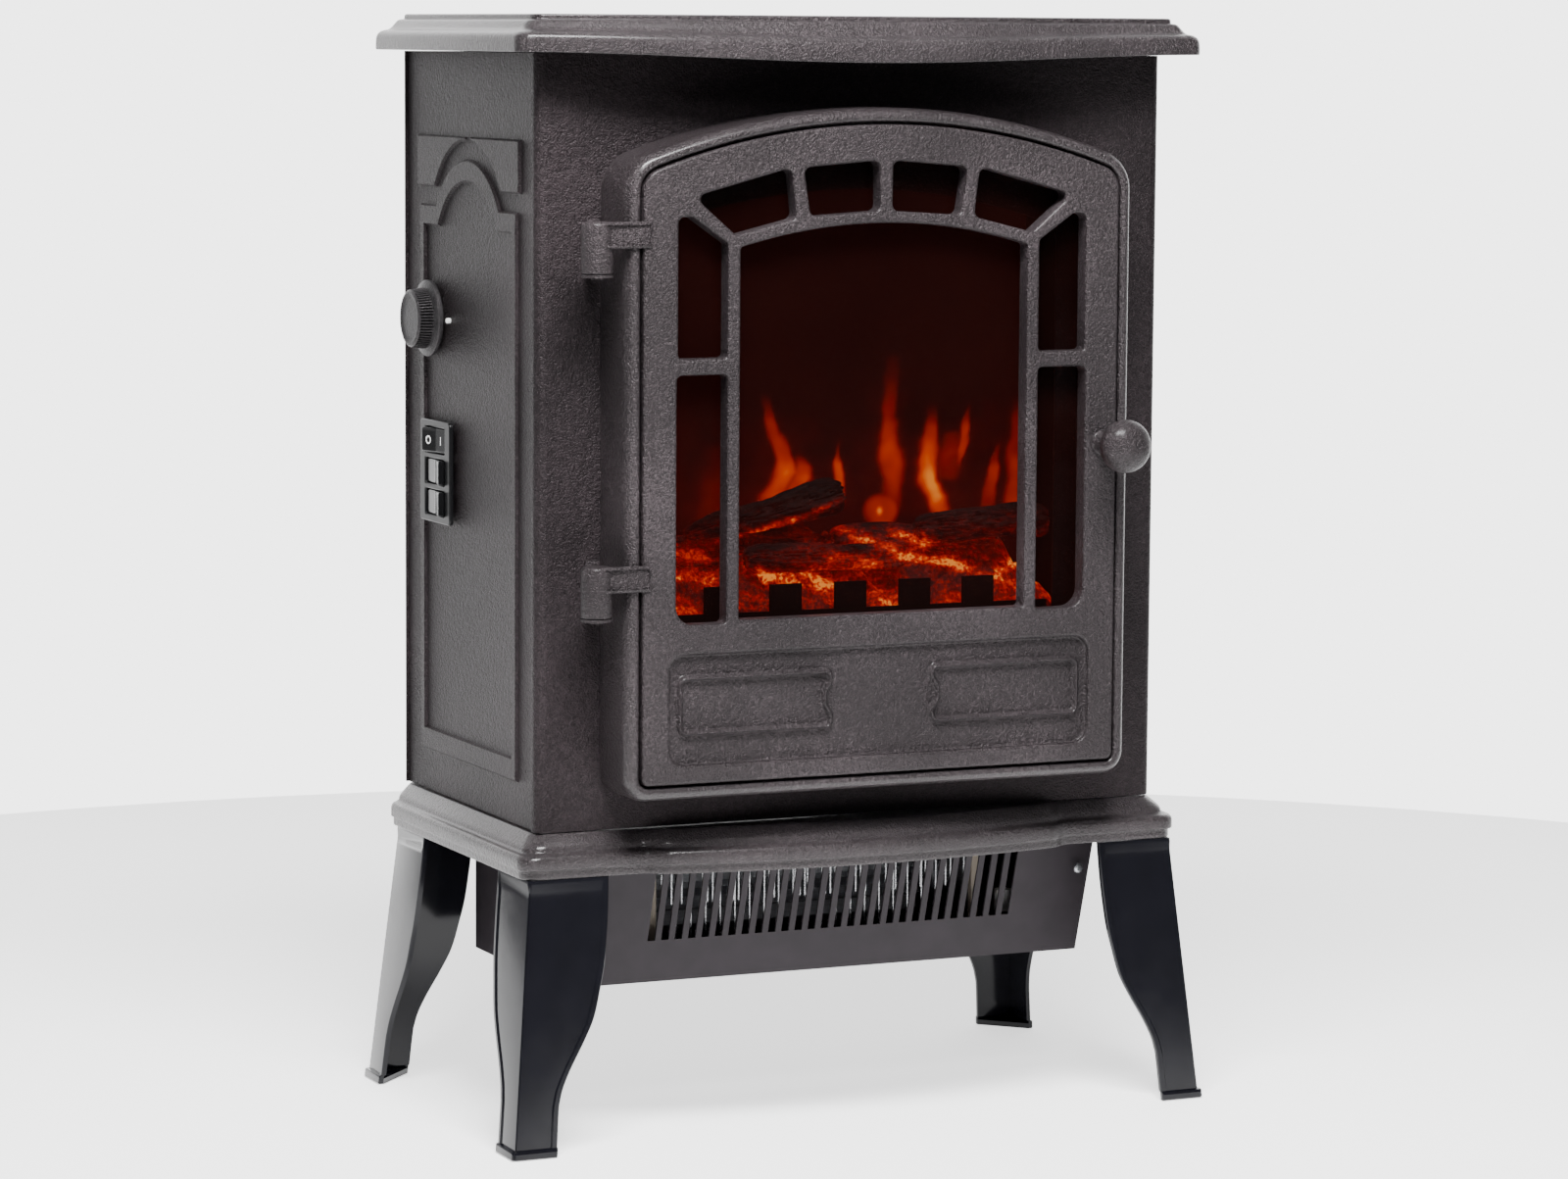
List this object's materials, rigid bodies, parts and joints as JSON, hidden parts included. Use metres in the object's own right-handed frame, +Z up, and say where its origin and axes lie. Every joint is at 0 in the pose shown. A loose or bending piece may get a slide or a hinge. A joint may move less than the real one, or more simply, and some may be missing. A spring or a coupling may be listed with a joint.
{
  "type": "electric fireplace stove heater",
  "caption": "Freestanding electric stove heater: moulded lid, sheet casing on splayed legs, hinged arched door with paned windows, log fire set, fan heater below.",
  "frame": {"origin": "middle of the bounding box in plan, on the floor", "axes": "+Z up; the door faces -Y; +X is to the right seen from the front"},
  "size_m": [0.4146, 0.2866, 0.6],
  "materials": {
    "casing_black": "fine-textured satin black powder coat",
    "leg_black": "smooth semi-gloss black",
    "smoked_glass": "smoked clear glass",
    "black_plastic": "satin moulded plastic",
    "white_plastic": "matt moulded plastic",
    "bright_steel": "bright steel",
    "zinc_plate": "zinc-plated steel",
    "circuit_board": "green solder mask",
    "mica_board": "matt mica board",
    "charred_ceramic": "charred bark that glows orange-red in its cracks"
  },
  "bodies": {
    "casing": {"top_plate": "casing_black", "base_plate": "casing_black", "front_fascia": "casing_black", "side_panel_left": "casing_black", "side_panel_right": "casing_black", "back_panel": "casing_black", "door_surround": "casing_black", "heater_box": "casing_black", "fire_shelf": "casing_black", "fire_cheek_left": "casing_black", "fire_cheek_right": "casing_black", "fire_back": "casing_black", "fret": "casing_black", "hinge_bracket_upper": "casing_black", "hinge_bracket_lower": "casing_black", "leg_front_left": "leg_black", "leg_front_right": "leg_black", "leg_back_left": "leg_black", "leg_back_right": "leg_black", "switch_bezel": "black_plastic", "cable_gland": "black_plastic", "door_catch": "black_plastic", "switch_body_1": "white_plastic", "switch_body_2": "white_plastic", "switch_body_3": "white_plastic", "thermostat_body": "white_plastic", "terminal_block": "white_plastic", "thermal_cutout": "white_plastic", "flame_screen": "white_plastic", "hinge_pin_upper": "bright_steel", "hinge_pin_lower": "bright_steel", "heating_wire": "bright_steel", "fan_bearing": "zinc_plate", "fan_motor": "zinc_plate", "flame_motor": "zinc_plate", "rotor_stand": "zinc_plate", "led_board": "circuit_board", "element_frame": "mica_board", "ember_bed": "charred_ceramic", "log_1": "charred_ceramic", "log_2": "charred_ceramic", "log_3": "charred_ceramic", "log_4": "charred_ceramic", "log_5": "charred_ceramic"},
    "door_leaf": {"door": "casing_black", "door_glass": "smoked_glass", "glass_retainer": "casing_black", "door_knob": "casing_black", "knob_stem": "casing_black", "door_strike": "bright_steel", "hinge_leaf_upper": "casing_black", "hinge_leaf_lower": "casing_black"},
    "thermostat_dial": {"thermostat_knob": "black_plastic"},
    "rocker_a": {"rocker_1": "black_plastic"},
    "rocker_b": {"rocker_2": "black_plastic"},
    "rocker_c": {"rocker_3": "black_plastic"},
    "flame_drum": {"flame_rotor": "bright_steel", "rotor_spindle": "bright_steel"},
    "fan_drum": {"fan_impeller": "zinc_plate", "fan_shaft": "bright_steel"}
  },
  "joints": [
    {"name": "door_hinge", "type": "hinge", "parent": "casing", "child": "door_leaf", "pos_m": [-0.163, -0.09825, 0.36], "axis": [0, 0, -1], "range_deg": [0, 105]},
    {"name": "thermostat_turn", "type": "hinge", "parent": "casing", "child": "thermostat_dial", "pos_m": [-0.1842, 0.09355, 0.4333], "axis": [-1, 0, 0], "range_deg": [0, 270]},
    {"name": "rocker_a_tilt", "type": "hinge", "parent": "casing", "child": "rocker_a", "pos_m": [-0.1824, 0.08045, 0.3666], "axis": [0, 0, -1], "range_deg": [0, 16]},
    {"name": "rocker_b_tilt", "type": "hinge", "parent": "casing", "child": "rocker_b", "pos_m": [-0.1824, 0.08045, 0.3494], "axis": [0, 0, 1], "range_deg": [0, 16]},
    {"name": "rocker_c_tilt", "type": "hinge", "parent": "casing", "child": "rocker_c", "pos_m": [-0.1824, 0.08045, 0.3322], "axis": [0, 0, 1], "range_deg": [0, 16]},
    {"name": "flame_drum_spin", "type": "hinge", "parent": "casing", "child": "flame_drum", "pos_m": [0, 0.03355, 0.3], "axis": [1, 0, 0], "continuous": true},
    {"name": "fan_spin", "type": "hinge", "parent": "casing", "child": "fan_drum", "pos_m": [0, 0.04355, 0.112], "axis": [1, 0, 0], "continuous": true}
  ]
}
